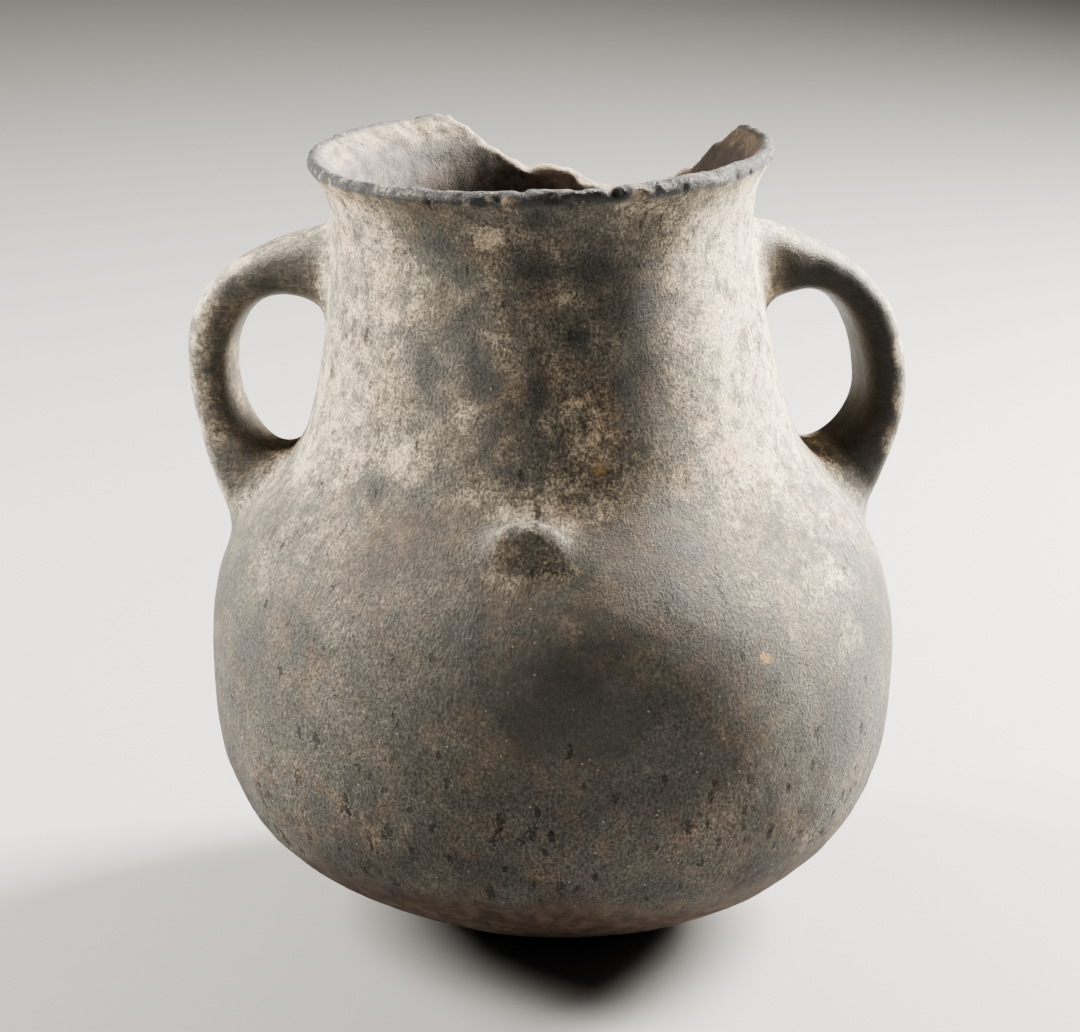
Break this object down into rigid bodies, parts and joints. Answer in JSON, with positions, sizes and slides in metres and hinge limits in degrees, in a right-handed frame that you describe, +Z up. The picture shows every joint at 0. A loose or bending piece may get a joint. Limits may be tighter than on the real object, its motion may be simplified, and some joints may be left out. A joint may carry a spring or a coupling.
{
  "type": "two-handled pottery jar",
  "caption": "Round-bodied clay jar with a tall tapering neck, flared broken rim, strap handles from neck to shoulder and a small lug on the front.",
  "frame": {"origin": "centre of the flat spot under the jar, on the surface that it stands on", "axes": "+Z up through the mouth, -Y towards the front with the lug, +X towards the right handle as seen from the front"},
  "size_m": [0.2224, 0.2112, 0.2443],
  "materials": {
    "clay": "dark grey burnished earthenware under a pale mottled deposit"
  },
  "bodies": {
    "root": {"jar": "clay"}
  },
  "joints": []
}
